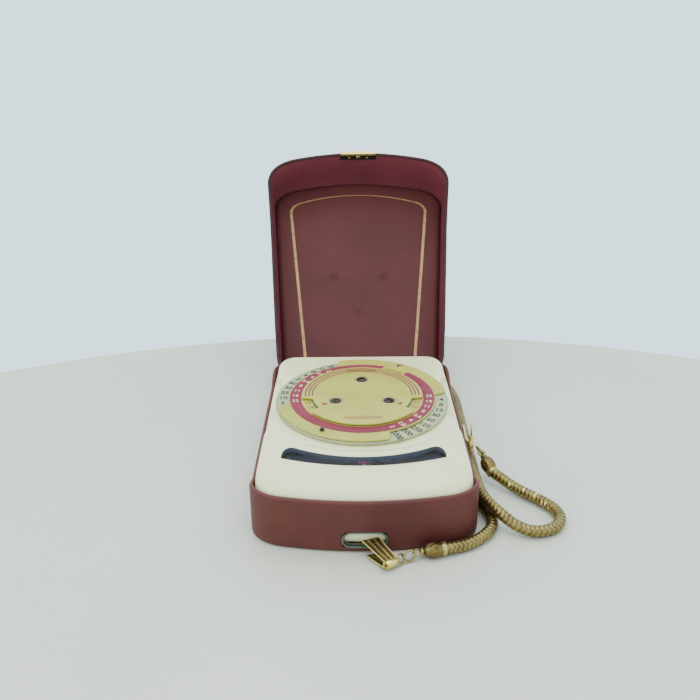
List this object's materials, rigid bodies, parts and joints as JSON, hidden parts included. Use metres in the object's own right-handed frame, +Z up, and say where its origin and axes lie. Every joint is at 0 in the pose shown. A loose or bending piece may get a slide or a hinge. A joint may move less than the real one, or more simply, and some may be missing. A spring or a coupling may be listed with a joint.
{
  "type": "selenium light meter",
  "caption": "Hand-held match-needle light meter with a calculator dial, seated in a leather ever-ready case whose lid is folded open, with a snake chain between two spring clips.",
  "frame": {"origin": "centre of the underside of the leather tray, on the surface it rests on", "axes": "+X to the right, +Y towards the case hinge, +Z up; the needle window end faces -Y"},
  "size_m": [0.0865, 0.1612, 0.0713],
  "materials": {
    "leather": "grained, semi-matt",
    "pad_leather": "smooth, semi-matt",
    "felt": "matt felt",
    "ivory_plastic": "polished",
    "dial_metal": "satin, pale gold, printed",
    "scale_metal": "satin, printed scale",
    "brass": "aged",
    "dark_metal": "blackened",
    "nickel": "tarnished",
    "clear": "clear",
    "slate_paint": "matt",
    "white_paint": "matt",
    "selenium": "dark grey",
    "magnet_alloy": "ground",
    "copper": "enamelled wire and strip"
  },
  "bodies": {
    "case": {"case_tray": "leather", "tray_lining": "felt", "slot_eyelet": "nickel", "hinge_strip": "leather", "snake_chain": "brass", "front_clip_base": "brass", "front_clip_spring": "brass", "front_clip_pin": "brass", "front_ring": "brass", "front_end_cap": "brass", "rear_clip_base": "brass", "rear_clip_spring": "brass", "rear_clip_pin": "brass", "rear_ring": "brass", "rear_end_cap": "brass"},
    "lid": {"lid_shell": "leather", "lid_pad": "pad_leather", "lid_clasp": "brass", "clasp_stud": "brass", "clasp_rivet_1": "brass", "clasp_rivet_2": "brass"},
    "meter": {"upper_housing": "ivory_plastic", "lower_housing": "ivory_plastic", "housing_screw_1": "dark_metal", "housing_screw_2": "dark_metal", "window_pane": "clear", "scale_plate": "slate_paint", "honeycomb_lens": "clear", "selenium_cell": "selenium", "cell_contact_left": "copper", "cell_contact_right": "copper", "movement_frame": "brass", "magnet": "magnet_alloy", "pole_core": "magnet_alloy", "movement_bridge": "brass", "lower_jewel_screw": "brass", "hairspring": "copper", "dial_hub": "brass", "friction_washer": "nickel", "name_disc": "dial_metal", "dial_screw_1": "dark_metal", "dial_screw_2": "dark_metal", "dial_screw_3": "dark_metal"},
    "needle": {"moving_coil": "copper", "needle": "white_paint"},
    "follow_pointer": {"follow_pointer": "white_paint"},
    "time_ring": {"time_ring": "scale_metal"},
    "speed_disc": {"speed_disc": "dial_metal", "speed_disc_stud": "dark_metal"},
    "front_clip_jaw": {"front_clip_jaw": "brass"},
    "rear_clip_jaw": {"rear_clip_jaw": "brass"}
  },
  "joints": [
    {"name": "lid_hinge", "type": "hinge", "parent": "case", "child": "lid", "pos_m": [0, 0.0402, 0.0141], "axis": [-1, 0, 0], "range_deg": [-143, 15]},
    {"name": "meter_lift", "type": "slide", "parent": "case", "child": "meter", "axis": [0, 0, 1], "range_m": [0, 0.03]},
    {"name": "time_ring_turn", "type": "hinge", "parent": "meter", "child": "time_ring", "pos_m": [0, 0.0069, 0.0192], "axis": [0, 0, 1], "range_deg": [-75, 75]},
    {"name": "speed_disc_turn", "type": "hinge", "parent": "meter", "child": "speed_disc", "pos_m": [0, 0.0069, 0.0202], "axis": [0, 0, 1], "range_deg": [-60, 60]},
    {"name": "needle_swing", "type": "hinge", "parent": "meter", "child": "needle", "pos_m": [0, 0.014, 0.015], "axis": [0, 0, 1], "range_deg": [-32, 25], "stiffness_Nm_per_rad": 0.0005},
    {"name": "follow_pointer_swing", "type": "hinge", "parent": "meter", "child": "follow_pointer", "pos_m": [0, 0.014, 0.0158], "axis": [0, 0, 1], "range_deg": [-27, 27]},
    {"name": "front_clip_squeeze", "type": "hinge", "parent": "case", "child": "front_clip_jaw", "pos_m": [0.0063, -0.047, 0.0018], "axis": [0.7986, 0.6018, 0], "range_deg": [-5, 4], "stiffness_Nm_per_rad": 0.02},
    {"name": "rear_clip_squeeze", "type": "hinge", "parent": "case", "child": "rear_clip_jaw", "pos_m": [0.031, -0.0024, 0.0093], "axis": [0, 0, -1], "range_deg": [0, 14], "stiffness_Nm_per_rad": 0.02}
  ],
  "couplings": [
    {"joint": "follow_pointer_swing", "follows": "time_ring_turn", "ratio": -0.35}
  ]
}
